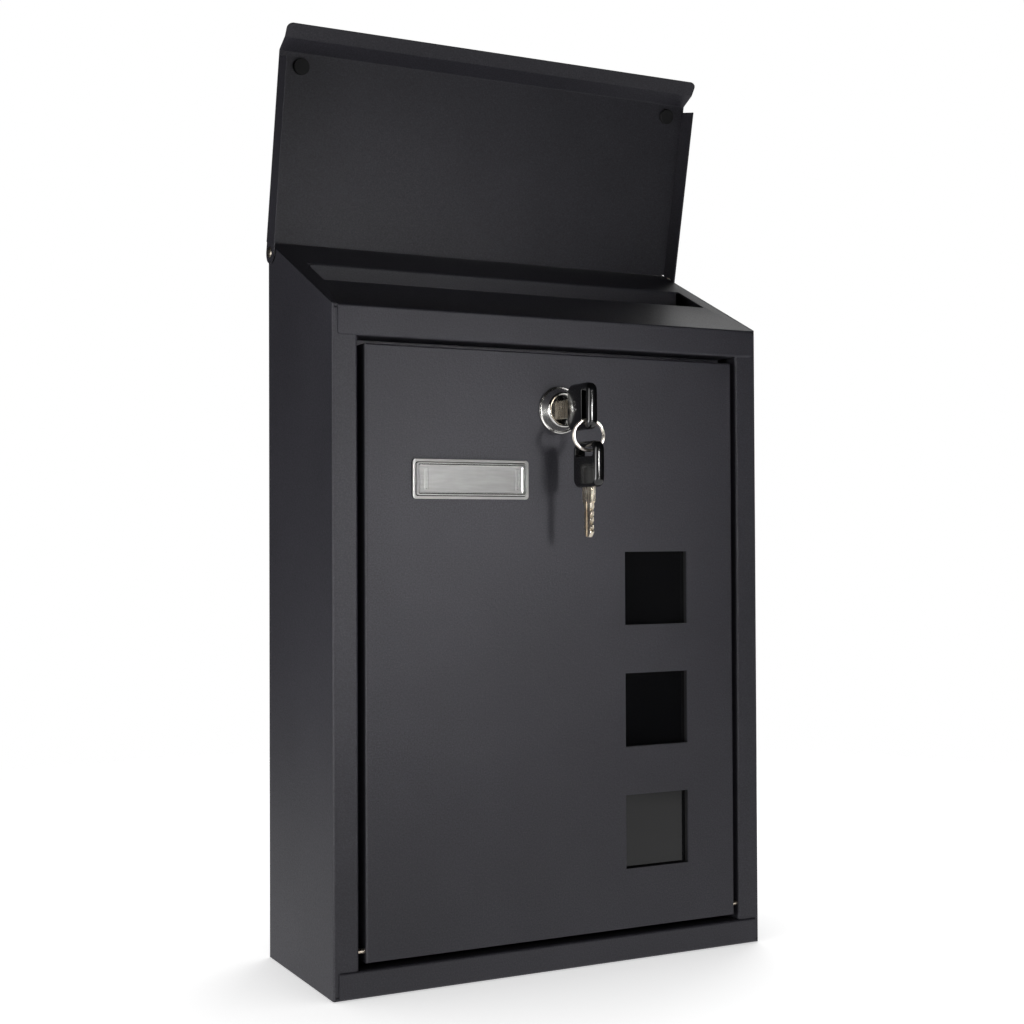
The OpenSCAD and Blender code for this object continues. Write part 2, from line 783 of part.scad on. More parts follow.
// A key drawn with its blade along Z, its width along Y and its tip at -blade_l
module blade_shape()
    difference() {
        rotate([0, -90, 0])
            translate([0, 0, -blade_t / 2])
                linear_extrude(blade_t)
                    polygon([
                        [-blade_l, -tip_h / 2],
                        [-blade_l, tip_h / 2],
                        [-blade_l + tip_l, blade_h / 2],
                        [0, blade_h / 2],
                        [0, collar_h / 2 - collar_corner],
                        [collar_corner, collar_h / 2],
                        [collar_l + tang_l, collar_h / 2],
                        [collar_l + tang_l, -collar_h / 2],
                        [collar_corner, -collar_h / 2],
                        [0, -collar_h / 2 + collar_corner],
                        [0, -blade_h / 2],
                        [-blade_l + tip_l, -blade_h / 2]
                    ]);
        // the bitting, and a groove milled down each face
        for (k = [0:bit_n - 1], sy = [-1, 1])
            translate([0, sy * blade_h / 2, -bit_first - k * wafer_pitch])
                rotate([45, 0, 0])
                    cube([2 * blade_t, bit_depth[k], bit_depth[k]], center = true);
        for (sx = [-1, 1])
            translate([sx * blade_t / 2, groove_w / 2, -blade_l / 2])
                cube([2 * groove_depth, groove_w, blade_l + cut], center = true);
    }

module bow_shape()
    difference() {
        hull()
            for (sy = [-1, 1], z = [bow_corner_r, bow_l - bow_corner_r], sx = [-1, 1])
                translate([sx * (bow_t / 2 - bow_edge_r), sy * (bow_w / 2 - bow_corner_r), collar_l + z])
                    rotate([0, 90, 0])
                        rotate_extrude($fn = 32)
                            translate([bow_corner_r - bow_edge_r, 0])
                                circle(bow_edge_r, $fn = 20);
        // slot for the ring
        translate([0, 0, collar_l + bow_l - eye_edge - eye_w / 2])
            rotate([0, 90, 0])
                translate([0, 0, -bow_t])
                    rounded_plate(eye_w, eye_l, eye_round, 2 * bow_t);
        // pocket for the tang
        translate([0, 0, collar_l + tang_l / 2])
            cube([blade_t + tang_gap, collar_h + tang_gap, tang_l + 2 * tang_gap], center = true);
    }

module in_lock()
    on_lock_axis()
        translate([0, 0, key_s])
            children();
module key_blade() color(BRASS)
    in_lock()
        blade_shape();
module key_bow() color(BLACK)
    in_lock()
        bow_shape();

module split_ring() color(CHROME)
    translate([0, ring_y, ring_z])
        rotate([90, 0, ring_turn])
            rotate_extrude()
                translate([ring_r, 0])
                    circle(ring_wire_r);

module on_ring()
    translate([0, ring_y, spare_top_z - collar_l - bow_l])
        children();
module spare_key_blade() color(BRASS)
    on_ring()
        blade_shape();
module spare_key_bow() color(BLACK)
    on_ring()
        bow_shape();

// Children drawn as the closed lid in the roof's plane are turned open about the pivot
module opened()
    translate([0, lid_pin_y, lid_pin_z])
        rotate([-lid_open, 0, 0])
            translate([0, -lid_pin_y, -lid_pin_z])
                children();

module lid_panel() color(POWDER)
    opened()
        on_roof()
            difference() {
                union() {
                    lid_sheet();
                    both_sides()
                        translate([lid_half_w - sheet_t, 0, 0])
                            rotate([90, 0, 90])
                                linear_extrude(sheet_t)
                                    lid_arm();
                }
                translate([0, lid_pin_s, lid_pin_n])
                    pin_x(-body_w, body_w, lid_pin_d / 2 + run_gap);
            }

// The lid's panel and lip, one folded sheet with rounded lip corners
module lid_sheet() {
    n = lid_n + half_t;
    bend = [lid_bend_s, n];
    knee = bend + turned(lip_drop, lip_drop_turn);
    edge = knee + turned(lip_flare, lip_flare_turn);
    relief_s = lid_bend_s + relief_l;
    difference() {
        rotate([90, 0, 90])
            translate([0, 0, -lid_half_w])
                linear_extrude(2 * lid_half_w)
                    polygon(sheet_outline(
                        rounded_path([[lid_pin_s - lid_heel, n], bend, knee, edge], lid_bend_r), sheet_t));
        both_sides()
            translate([lid_half_w, knee[0], knee[1]])
                rotate([lip_flare_turn, 0, 0])
                    difference() {
                        box([-lip_corner_r, -lip_flare - cut, -cut - sheet_t],
                            [cut, -lip_flare + lip_corner_r, cut + sheet_t]);
                        translate([-lip_corner_r, -lip_flare + lip_corner_r, -2 * cut])
                            cylinder(h = 4 * cut, r = lip_corner_r);
                    }
    }
}

// One side flange of the lid with its pivot arm
module lid_arm()
    difference() {
        union() {
            translate([lid_bend_s + relief_l, lid_n - lid_flange_h])
                square([lid_l - relief_l, lid_flange_h + sheet_t]);
            translate([lid_pin_s, lid_pin_n])
                circle(arm_end_r);
        }
        // the arm steps down behind the panel
        translate([lid_pin_s - lid_heel, lid_pin_n + arm_end_r])
            square([2 * lid_heel + arm_end_r, lid_flange_h]);
    }

module lid_bumpers() color(BLACK)
    opened()
        on_roof()
            for (sx = [-1, 1])
                translate([sx * bumper_x, lid_bend_s + bumper_from_lip, lid_n - bumper_t])
                    cylinder(h = bumper_t, r = bumper_r);

casing_wrap();
roof_panel();
floor_panel();
lid_pivot_pins();
lid_pivot_washers();
door_pivot_pins();
door_panel();
pane_gasket();
window_pane();
pane_studs();
pane_push_nuts();
nameplate_window();
nameplate_card();
lock_housing();
lock_star_washer();
lock_nut();
lock_plug();
lock_wafers();
lock_cam();
cam_washer();
cam_screw();
key_blade();
key_bow();
split_ring();
spare_key_blade();
spare_key_bow();
lid_panel();
lid_bumpers();
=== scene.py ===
import json
from math import cos, pi, radians, sin

import bmesh
import bpy
from mathutils import Matrix, Vector


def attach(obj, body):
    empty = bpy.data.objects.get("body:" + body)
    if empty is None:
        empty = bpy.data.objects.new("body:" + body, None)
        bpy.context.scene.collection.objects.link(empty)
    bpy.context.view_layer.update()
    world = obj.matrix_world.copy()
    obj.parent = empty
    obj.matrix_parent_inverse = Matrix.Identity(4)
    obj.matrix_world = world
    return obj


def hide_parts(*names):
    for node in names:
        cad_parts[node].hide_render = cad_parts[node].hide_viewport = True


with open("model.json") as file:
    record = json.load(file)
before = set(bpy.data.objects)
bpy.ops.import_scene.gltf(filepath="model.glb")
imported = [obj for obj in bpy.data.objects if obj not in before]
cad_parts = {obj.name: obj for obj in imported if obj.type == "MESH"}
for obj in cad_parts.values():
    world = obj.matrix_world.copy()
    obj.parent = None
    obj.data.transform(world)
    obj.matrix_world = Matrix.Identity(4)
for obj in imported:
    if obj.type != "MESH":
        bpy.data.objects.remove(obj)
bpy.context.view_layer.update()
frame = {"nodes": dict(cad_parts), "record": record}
nodes = frame["nodes"]
MM = 0.001
scene = bpy.context.scene
scene.view_settings.view_transform = "Standard"


def box_mm(node):
    """The centre and the size of a CAD node's box, in mm."""
    points = [v.co / MM for v in nodes[node].data.vertices]
    low, high = (Vector([pick(p[i] for p in points) for i in range(3)]) for pick in (min, max))
    return (low + high) / 2, high - low


DOOR_AT, DOOR_SIZE = box_mm("door_panel")
FRONT_Y = round(DOOR_AT.y - DOOR_SIZE.y / 2, 3)


# ---------------------------------------------------------------- camera
LENS_MM = 56.22
YAW, PITCH, ROLL = radians(27.109), radians(0.945), radians(-0.2415)
CAM_AT = Vector((-0.36063, -0.69966, 0.20113))

forward = Vector((sin(YAW) * cos(PITCH), cos(YAW) * cos(PITCH), sin(PITCH)))
level = Vector((cos(YAW), -sin(YAW), 0))
upright = level.cross(forward)
right = level * cos(ROLL) + upright * sin(ROLL)
up = upright * cos(ROLL) - level * sin(ROLL)
camera_data = bpy.data.cameras.new("camera")
camera_data.lens = LENS_MM
camera_data.sensor_width = 36
camera_data.clip_start = 0.01
camera = bpy.data.objects.new("camera", camera_data)
scene.collection.objects.link(camera)
turn = Matrix((right, up, -forward)).transposed()
camera.matrix_world = Matrix.Translation(CAM_AT) @ turn.to_4x4()
scene.camera = camera


# ---------------------------------------------------------------- materials
class Paint:
    """A node-based material with a few shorthands for its texture nodes."""

    def __init__(self, name, **sockets):
        self.mat = bpy.data.materials.new(name)
        self.mat.use_nodes = True
        self.tree = self.mat.node_tree
        self.tree.nodes.clear()
        self.out = self.tree.nodes.new("ShaderNodeOutputMaterial")
        self.shader = self.tree.nodes.new("ShaderNodeBsdfPrincipled")
        self.tree.links.new(self.shader.outputs[0], self.out.inputs["Surface"])
        self.coord = self.tree.nodes.new("ShaderNodeTexCoord").outputs["Object"]
        for key, value in sockets.items():
            self.shader.inputs[key.replace("_", " ")].default_value = value

    def link(self, a, b):
        self.tree.links.new(a, b)

    def stretched(self, scale, turned=(0, 0, 0)):
        node = self.tree.nodes.new("ShaderNodeMapping")
        node.inputs["Scale"].default_value = scale
        node.inputs["Rotation"].default_value = turned
        self.link(self.coord, node.inputs["Vector"])
        return node.outputs[0]

    def noise(self, scale, detail=3.0, rough=0.55, vector=None):
        node = self.tree.nodes.new("ShaderNodeTexNoise")
        node.inputs["Scale"].default_value = scale
        node.inputs["Detail"].default_value = detail
        node.inputs["Roughness"].default_value = rough
        self.link(vector or self.coord, node.inputs["Vector"])
        return node.outputs["Fac"]

    def cells(self, scale, feature="F1", out="Distance", vector=None):
        node = self.tree.nodes.new("ShaderNodeTexVoronoi")
        node.feature = feature
        node.inputs["Scale"].default_value = scale
        self.link(vector or self.coord, node.inputs["Vector"])
        return node.outputs[out]

    def mapped(self, value, low, high, to_low, to_high):
        node = self.tree.nodes.new("ShaderNodeMapRange")
        self.link(value, node.inputs["Value"])
        for key, number in (("From Min", low), ("From Max", high), ("To Min", to_low), ("To Max", to_high)):
            node.inputs[key].default_value = number
        return node.outputs["Result"]

    def math(self, op, a, b):
        node = self.tree.nodes.new("ShaderNodeMath")
        node.operation = op
        for socket, x in zip(node.inputs, (a, b)):
            if isinstance(x, (int, float)):
                socket.default_value = x
            else:
                self.link(x, socket)
        return node.outputs[0]

    def colours(self, value, *stops):
        node = self.tree.nodes.new("ShaderNodeValToRGB")
        ramp = node.color_ramp
        while len(ramp.elements) < len(stops):
            ramp.elements.new(0.5)
        for element, (at, rgb) in zip(ramp.elements, stops):
            element.position = at
            element.color = (*rgb, 1)
        self.link(value, node.inputs["Fac"])
        return node.outputs["Color"]

    def bump(self, value, depth, strength=1.0, after=None):
        node = self.tree.nodes.new("ShaderNodeBump")
        node.inputs["Distance"].default_value = depth
        node.inputs["Strength"].default_value = strength
        self.link(value, node.inputs["Height"])
        if after is not None:
            self.link(after, node.inputs["Normal"])
        return node.outputs["Normal"]

    def to(self, socket, value):
        self.link(value, self.shader.inputs[socket])
        return self


def powder_coat():
    """Fine-textured matt anthracite powder coat."""
    p = Paint("powder_coat", Specular_IOR_Level=0.5)
    mottle = p.noise(9, 4, 0.6)
    grain = p.noise(1500, 4, 0.6)
    tone = p.math("ADD", p.math("MULTIPLY", mottle, 0.3), p.math("MULTIPLY", grain, 0.7))
    p.to("Base Color", p.colours(tone, (0.3, (0.0160, 0.0152, 0.0205)), (0.5, (0.0320, 0.0308, 0.0400)),
                                 (0.7, (0.0560, 0.0540, 0.0680))))
    p.to("Roughness", p.mapped(p.noise(1700, 3, 0.6), 0.3, 0.7, 0.50, 0.62))
    pebbles = p.noise(900, 3, 0.5)
    fine = p.noise(2600, 2, 0.5)
    p.to("Normal", p.bump(fine, 0.00005, 0.7, p.bump(pebbles, 0.00012, 0.7)))
    return p.mat


def chrome():
    p = Paint("lock_chrome", Metallic=1.0)
    haze = p.noise(260, 4, 0.6)
    scuffs = p.noise(40, 3, 0.5, p.stretched((30, 30, 4), (0.3, 0.2, 0.6)))
    p.to("Base Color", p.colours(haze, (0.3, (0.62, 0.61, 0.58)), (0.7, (0.86, 0.85, 0.83))))
    p.to("Roughness", p.mapped(scuffs, 0.35, 0.7, 0.10, 0.26))
    p.to("Normal", p.bump(scuffs, 0.00001, 0.4))
    return p.mat


def ring_steel():
    """Warm nickel plate of the split ring."""
    p = Paint("ring_steel", Metallic=1.0)
    wear = p.noise(300, 4, 0.6)
    p.to("Base Color", p.colours(wear, (0.3, (0.55, 0.50, 0.44)), (0.7, (0.80, 0.74, 0.67))))
    p.to("Roughness", p.mapped(wear, 0.3, 0.7, 0.24, 0.38))
    p.to("Normal", p.bump(p.noise(1200, 2, 0.5), 0.00001, 0.4))
    return p.mat


def zinc():
    p = Paint("zinc", Metallic=1.0)
    spangle = p.cells(380, out="Color")
    haze = p.noise(700, 3, 0.6)
    p.to("Base Color", p.colours(haze, (0.3, (0.44, 0.45, 0.47)), (0.7, (0.64, 0.65, 0.68))))
    p.to("Roughness", p.mapped(spangle, 0.0, 1.0, 0.28, 0.46))
    p.to("Normal", p.bump(haze, 0.00002, 0.4))
    return p.mat


def brass():
    p = Paint("brass", Metallic=1.0)
    strokes = p.noise(120, 4, 0.6, p.stretched((14, 14, 1.2)))
    tarnish = p.noise(220, 3, 0.6)
    p.to("Base Color", p.colours(tarnish, (0.3, (0.52, 0.44, 0.34)), (0.65, (0.84, 0.76, 0.64))))
    p.to("Roughness", p.mapped(strokes, 0.3, 0.7, 0.18, 0.36))
    p.to("Normal", p.bump(strokes, 0.00002, 0.5))
    return p.mat


def key_plastic():
    p = Paint("key_plastic", Coat_Weight=0.4, Coat_Roughness=0.06, Specular_IOR_Level=0.55)
    swirl = p.noise(60, 4, 0.6)
    p.to("Base Color", p.colours(swirl, (0.3, (0.0015, 0.0015, 0.0018)), (0.7, (0.004, 0.004, 0.0044))))
    p.to("Roughness", p.mapped(p.noise(900, 3, 0.6), 0.3, 0.7, 0.12, 0.24))
    p.to("Normal", p.bump(p.noise(300, 2, 0.5), 0.00003, 0.35))
    return p.mat


def clear_plastic():
    """Clear silvery moulding, darkened with painted shade in its grooves, below 1.2 mm from the door."""
    p = Paint("clear_plastic", IOR=1.49, Metallic=0.3, Transmission_Weight=0.15, Coat_Weight=0.8,
              Coat_Roughness=0.05)
    flow = p.noise(90, 3, 0.5, p.stretched((1, 1, 6)))
    axes = p.tree.nodes.new("ShaderNodeSeparateXYZ")
    p.link(p.coord, axes.inputs[0])
    groove_y, ledge_y = (FRONT_Y - 1.0) * MM, (FRONT_Y - 1.2) * MM
    # painted shade: the base colour falls to 0.08 within 1.0 mm of the door, where the grooves and pocket
    # lie, and is full from 1.2 mm out
    height = p.mapped(axes.outputs["Y"], groove_y, ledge_y, 0.08, 1.0)
    tone = p.math("MULTIPLY", height, p.mapped(flow, 0.3, 0.7, 0.58, 0.68))
    p.to("Base Color", p.colours(tone, (0.0, (0.0, 0.0, 0.0)), (1.0, (1.0, 0.99, 0.97))))
    p.to("Roughness", p.mapped(p.noise(500, 3, 0.6), 0.3, 0.7, 0.10, 0.24))
    p.to("Normal", p.bump(flow, 0.00005, 0.3))
    return p.mat


def smoked_pane():
    p = Paint("smoked_pane", IOR=1.49, Transmission_Weight=0.35)
    haze = p.noise(14, 3, 0.5)
    dust = p.noise(1800, 2, 0.6)
    p.to("Base Color", p.colours(haze, (0.3, (0.006, 0.006, 0.007)), (0.7, (0.012, 0.012, 0.013))))
    p.to("Roughness", p.mapped(dust, 0.35, 0.75, 0.02, 0.09))
    p.to("Normal", p.bump(haze, 0.0002, 0.15))
    return p.mat


def card():
    p = Paint("card", Specular_IOR_Level=0.4)
    fibres = p.noise(700, 5, 0.65, p.stretched((1, 1, 3)))
    blotch = p.noise(60, 3, 0.5)
    tone = p.math("ADD", p.math("MULTIPLY", fibres, 0.4), p.math("MULTIPLY", blotch, 0.6))
    p.to("Base Color", p.colours(tone, (0.3, (0.40, 0.40, 0.39)), (0.7, (0.54, 0.54, 0.53))))
    p.to("Roughness", p.mapped(fibres, 0.3, 0.7, 0.42, 0.62))
    p.to("Normal", p.bump(fibres, 0.00002, 0.5))
    return p.mat


def rubber():
    p = Paint("rubber", Specular_IOR_Level=0.35)
    bloom = p.noise(500, 4, 0.65)
    p.to("Base Color", p.colours(bloom, (0.3, (0.008, 0.008, 0.009)), (0.75, (0.022, 0.022, 0.023))))
    p.to("Roughness", p.mapped(bloom, 0.3, 0.7, 0.62, 0.85))
    p.to("Normal", p.bump(p.noise(2200, 3, 0.6), 0.00004, 0.6))
    return p.mat


def nylon():
    p = Paint("nylon", Specular_IOR_Level=0.45, Subsurface_Weight=0.15, Subsurface_Scale=0.002)
    cloud = p.noise(400, 3, 0.5)
    p.to("Base Color", p.colours(cloud, (0.3, (0.60, 0.59, 0.55)), (0.7, (0.74, 0.73, 0.69))))
    p.to("Roughness", p.mapped(cloud, 0.3, 0.7, 0.38, 0.55))
    p.to("Normal", p.bump(cloud, 0.00002, 0.4))
    return p.mat


PAINTS = {f.__name__: f() for f in (powder_coat, zinc, brass, key_plastic, clear_plastic,
                                    smoked_pane, card, rubber, nylon)}
PAINTS["lock_chrome"] = chrome()
SLOT = {row["node"]: row["material_slot"] for row in frame["record"]["subparts"]}
for name, obj in nodes.items():
    obj.data.materials.clear()
    obj.data.materials.append(PAINTS[SLOT[name]])


# ---------------------------------------------------------------- mesh helpers
SAME_POINT = 0.000002
FLAT_ANGLE = radians(0.6)
SHARP_ANGLE = radians(40)
BLEND_ANGLE = radians(34)


def place(name, mesh, body, slot, *replaced):
    """A new piece on a body, with the finish of a material slot, standing for CAD nodes."""
    obj = bpy.data.objects.new(name, mesh)
    scene.collection.objects.link(obj)
    if not mesh.materials:
        mesh.materials.append(PAINTS[slot])
    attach(obj, body)
    if replaced:
        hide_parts(*replaced)
    return obj


def even_normals(mesh, blend=BLEND_ANGLE):
    """Split normals that follow the largest face round each corner, so flats stay flat."""
    faces = mesh.polygons
    around = [[] for _ in mesh.vertices]
    for face in faces:
        for v in face.vertices:
            around[v].append(face.index)
    limit = cos(blend)
    normals = []
    for face in faces:
        for v in face.vertices:
            total = Vector()
            for k in around[v]:
                if faces[k].normal.dot(face.normal) > limit:
                    total += faces[k].normal * (faces[k].area / MM ** 2) ** 2
            normals.append(total.normalized() if total.length > 0 else face.normal.copy())
    mesh.normals_split_custom_set(normals)


def broken_edges(node, name, body, bevel_mm=0.2, segments=2):
    """The CAD shape of a node with its sharp edges broken, so that they catch the light."""
    bm = bmesh.new()
    bm.from_mesh(nodes[node].data)
    bmesh.ops.remove_doubles(bm, verts=bm.verts, dist=SAME_POINT)
    bmesh.ops.dissolve_limit(bm, angle_limit=FLAT_ANGLE, verts=bm.verts, edges=bm.edges)
    sharp = [e for e in bm.edges if len(e.link_faces) == 2 and e.calc_face_angle() > SHARP_ANGLE]
    bmesh.ops.bevel(bm, geom=sharp, offset=bevel_mm * MM, offset_type="OFFSET", segments=segments,
                    profile=0.5, affect="EDGES", clamp_overlap=True)
    for face in bm.faces:
        face.smooth = True
    mesh = bpy.data.meshes.new(name)
    bm.to_mesh(mesh)
    bm.free()
    even_normals(mesh)
    return place(name, mesh, body, SLOT[node], node)


def loft(name, loops, ring=False):
    """A mesh through closed loops of points, each with the same number of points."""
    bm = bmesh.new()
    rows = [[bm.verts.new(p) for p in loop] for loop in loops]
    count = len(rows[0])
    pairs = list(zip(rows, rows[1:])) + ([(rows[-1], rows[0])] if ring else [])
    for a, b in pairs:
        for i in range(count):
            j = (i + 1) % count
            bm.faces.new((a[i], a[j], b[j], b[i]))
    if not ring:
        bm.faces.new(rows[0][::-1])
        bm.faces.new(rows[-1])
    bmesh.ops.recalc_face_normals(bm, faces=bm.faces)
    for face in bm.faces:
        face.smooth = True
    mesh = bpy.data.meshes.new(name)
    bm.to_mesh(mesh)
    bm.free()
    return mesh


def rounded_rect(w, h, r, steps=8):
    """Points round a rectangle with round corners, in a plane."""
    r = max(min(r, w / 2 - 1e-6, h / 2 - 1e-6), 1e-5)
    points = []
    for k, (sx, sy) in enumerate(((1, 1), (-1, 1), (-1, -1), (1, -1))):
        for i in range(steps + 1):
            a = (k + i / steps) * pi / 2
            points.append((sx * (w / 2 - r) + r * cos(a), sy * (h / 2 - r) + r * sin(a)))
    return points


def joined(name, meshes):
    """One mesh made of several, which are removed."""
    bm = bmesh.new()
    for mesh in meshes:
        bm.from_mesh(mesh)
        bpy.data.meshes.remove(mesh)
    mesh = bpy.data.meshes.new(name)
    bm.to_mesh(mesh)
    bm.free()
    return mesh


# ---------------------------------------------------------------- sheet metal
for node, name, body in (
        ("casing_wrap", "casing_sheet", "casing"), ("roof_panel", "roof_sheet", "casing"),
        ("floor_panel", "floor_sheet", "casing"), ("door_panel", "door_sheet", "door"),
        ("lid_panel", "lid_sheet", "lid")):
    broken_edges(node, name, body)

# ---------------------------------------------------------------- keys, in mm
KEY_AT, (BOW_T, BOW_L, BOW_W) = box_mm("key_bow")
HANG_AT, _ = box_mm("spare_key_bow")
BOW_ROUND = 4.2                 # corners of the bow's outline
BOW_EDGE = 2.0                  # rounding of the outline's edges
EYE_SIDE = 3.0                  # web at each end of the slot for the ring
EYE_L = BOW_W - 2 * EYE_SIDE
EYE_W = 4.2
EYE_WEB = 2.7                   # web between the slot and the bow's end
EYE_ROUND = 1.0
EYE_RIM = 0.25
ARC_STEPS = 6
BLADE_BEVEL = 0.12


def bow_mesh(name, to_frame):
    """A moulded key head; to_frame takes thickness, width and length in mm to the frame."""
    half, eye_at = BOW_T / 2, BOW_L / 2 - EYE_WEB - EYE_W / 2
    quarter = [k / ARC_STEPS * pi / 2 for k in range(ARC_STEPS + 1)]
    side = []
    for a in quarter:
        grow = EYE_RIM * (1 - cos(a))
        depth = half - EYE_RIM * (1 - sin(a))
        side.append((depth, EYE_L + 2 * grow, EYE_W + 2 * grow, EYE_ROUND + grow, eye_at))
    for a in quarter:
        inset = BOW_EDGE * (1 - sin(a))
        depth = half - BOW_EDGE * (1 - cos(a))
        side.append((depth, BOW_W - 2 * inset, BOW_L - 2 * inset, BOW_ROUND - inset, 0))
    rows = side + [(-depth, w, h, r, at) for depth, w, h, r, at in side[::-1]]
    loops = [[to_frame(x, u, v + at) for u, v in rounded_rect(w, h, r)] for x, w, h, r, at in rows]
    return loft(name, loops, ring=True)


def in_lock(x, across, along):
    """The inserted key points at the door, with its width upright."""
    return (KEY_AT + Vector((x, -along, across))) * MM


def on_ring(x, across, along):
    """The spare key hangs, with its width towards the door."""
    return (HANG_AT + Vector((x, across, along))) * MM


place("key_head", bow_mesh("key_head", in_lock), "key", SLOT["key_bow"], "key_bow")
place("spare_key_head", bow_mesh("spare_key_head", on_ring), "spare_key", SLOT["spare_key_bow"],
      "spare_key_bow")
broken_edges("key_blade", "key_shank", "key", BLADE_BEVEL)
broken_edges("spare_key_blade", "spare_key_shank", "spare_key", BLADE_BEVEL)

# ---------------------------------------------------------------- split ring, in mm
RING_AT, RING_SIZE = box_mm("split_ring")
WIRE_R = 0.75
RING_R = RING_SIZE.z / 2 - WIRE_R
RING_TURN = Matrix.Rotation(radians(-15), 3, "Z")
WIRE_RADIAL, WIRE_AXIAL, WIRE_ROUND = 1.4, 0.68, 0.28
TURN_OFFSET = 0.37              # of each turn from the ring's middle plane
FIRST_END, LAST_END = 30, 690   # angles of the two cut ends
CHANGE_FROM, CHANGE_OVER = 330, 60
RING_STEPS = 132


def split_ring_mesh(name):
    """Two turns of flattened wire, which change over where the ends are cut."""
    loops = []
    for k in range(RING_STEPS + 1):
        degrees = FIRST_END + (LAST_END - FIRST_END) * k / RING_STEPS
        change = min(max((degrees - CHANGE_FROM) / CHANGE_OVER, 0), 1)
        axial = TURN_OFFSET * (-1 + 2 * change * change * (3 - 2 * change))
        a = radians(degrees)
        section = rounded_rect(WIRE_RADIAL, WIRE_AXIAL, WIRE_ROUND, 3)
        points = [Vector(((RING_R + u) * cos(a), axial + v, (RING_R + u) * sin(a))) for u, v in section]
        loops.append([(RING_AT + RING_TURN @ point) * MM for point in points])
    return loft(name, loops)


ring_mesh = split_ring_mesh("split_ring_wire")
ring_mesh.materials.append(ring_steel())
place("split_ring_wire", ring_mesh, "ring", SLOT["split_ring"], "split_ring")

# ---------------------------------------------------------------- name plate, in mm
PLATE_AT, PLATE_SIZE = box_mm("nameplate_window")
PLATE_W, PLATE_H = PLATE_SIZE.x, PLATE_SIZE.z
# width, height, corner radius and height over the door of each step, from the card's pocket
# round the rim and over the ridges to the sunk window
PLATE_STEPS = (
    (44.4, 11.4, 0.4, 0.36), (44.4, 11.4, 0.4, 0),
    (PLATE_W, PLATE_H, 1.6, 0), (PLATE_W, PLATE_H, 1.6, 0.9),
    (58.2, 17.9, 1.5, 1.2), (57.9, 17.6, 1.4, 1.3), (55.9, 15.6, 1.2, 1.3), (55.5, 15.2, 1.1, 0.9),
    (55.1, 14.8, 1.0, 0.9), (55.1, 14.8, 1.0, 2.2), (54.7, 14.4, 0.9, 2.5), (53.9, 13.6, 0.8, 2.5),
    (53.6, 13.3, 0.8, 1.0), (53.1, 12.9, 0.8, 1.0), (52.9, 12.7, 0.7, 2.3), (52.1, 12.3, 0.7, 2.3),
    (51.5, 12.0, 0.6, 1.7), (50.5, 11.4, 0.5, 1.6), (49.9, 10.8, 0.4, 1.7))
CLIP_X, CLIP_W, CLIP_H = 23.0, 2.1, 9.8
CLIP_STEPS = (
    (CLIP_W, CLIP_H, 0.4, 1.6), (CLIP_W, CLIP_H, 0.4, 2.1), (CLIP_W - 0.3, CLIP_H - 0.3, 0.3, 2.25),
    (CLIP_W - 0.9, CLIP_H - 0.9, 0.2, 2.25), (CLIP_W - 1.2, CLIP_H - 1.2, 0.2, 2.0))
LEG_X, LEG_W, LEG_H, LEG_L = 23.85, 2.0, 9.0, 3.0
LEG_STEPS = (
    (LEG_W, LEG_H, 0.2, 0.1), (LEG_W, LEG_H, 0.2, -LEG_L + 0.3),
    (LEG_W - 0.4, LEG_H - 0.4, 0.2, -LEG_L))


def stepped(name, steps, x=0):
    """A moulding on the door's face, x from the plate's middle."""
    loops = [[((PLATE_AT.x + x + u) * MM, (FRONT_Y - over) * MM, (PLATE_AT.z + v) * MM)
              for u, v in rounded_rect(w, h, r, 5)] for w, h, r, over in steps]
    return loft(name, loops)


plate_parts = [stepped("plate", PLATE_STEPS)]
for side in (-1, 1):
    plate_parts.append(stepped("clip", CLIP_STEPS, side * CLIP_X))
    plate_parts.append(stepped("leg", LEG_STEPS, side * LEG_X))
plate_mesh = joined("name_plate_cover", plate_parts)
even_normals(plate_mesh)
place("name_plate_cover", plate_mesh, "door", SLOT["nameplate_window"], "nameplate_window")

# ---------------------------------------------------------------- lock, in mm
LOCK_AT, LOCK_SIZE = box_mm("lock_housing")
BEZEL_R = LOCK_SIZE.x / 2
# radius and height over the door: flange, groove, cone, rounded rim and the bore of the bezel
BEZEL = (
    (6.2, 0.0), (11.0, 0.0), (BEZEL_R, 0.3), (BEZEL_R, 1.0), (11.0, 1.35), (10.6, 1.5), (10.25, 1.4),
    (10.1, 1.6), (9.6, 2.6), (9.1, 3.6), (8.7, 4.5), (8.4, 5.1), (8.05, 5.5), (7.7, 5.6), (7.3, 5.5),
    (7.0, 5.2), (6.9, 4.9), (6.9, 3.5), (6.2, 3.5))
TURN_STEPS = 96


def bezel_mesh(name):
    """The bezel's profile turned about the lock's axis."""
    turns = [2 * pi * k / TURN_STEPS for k in range(TURN_STEPS)]
    loops = [[((LOCK_AT.x + r * cos(a)) * MM, (FRONT_Y - over) * MM, (LOCK_AT.z + r * sin(a)) * MM)
              for a in turns] for r, over in BEZEL]
    mesh = loft(name, loops, ring=True)
    even_normals(mesh)
    return mesh


def barrel_mesh(name):
    """The barrel behind the door's face, cut from the CAD shape."""
    bm = bmesh.new()
    bm.from_mesh(nodes["lock_housing"].data)
    bmesh.ops.bisect_plane(bm, geom=bm.verts[:] + bm.edges[:] + bm.faces[:], dist=0.000001,
                           plane_co=(0, FRONT_Y * MM, 0), plane_no=(0, -1, 0), clear_outer=True)
    bmesh.ops.bridge_loops(bm, edges=[e for e in bm.edges if len(e.link_faces) == 1])
    mesh = bpy.data.meshes.new(name)
    bm.to_mesh(mesh)
    bm.free()
    even_normals(mesh)
    return mesh


place("lock_bezel", bezel_mesh("lock_bezel"), "door", SLOT["lock_housing"], "lock_housing")
place("lock_barrel", barrel_mesh("lock_barrel"), "door", SLOT["lock_housing"], "lock_housing")

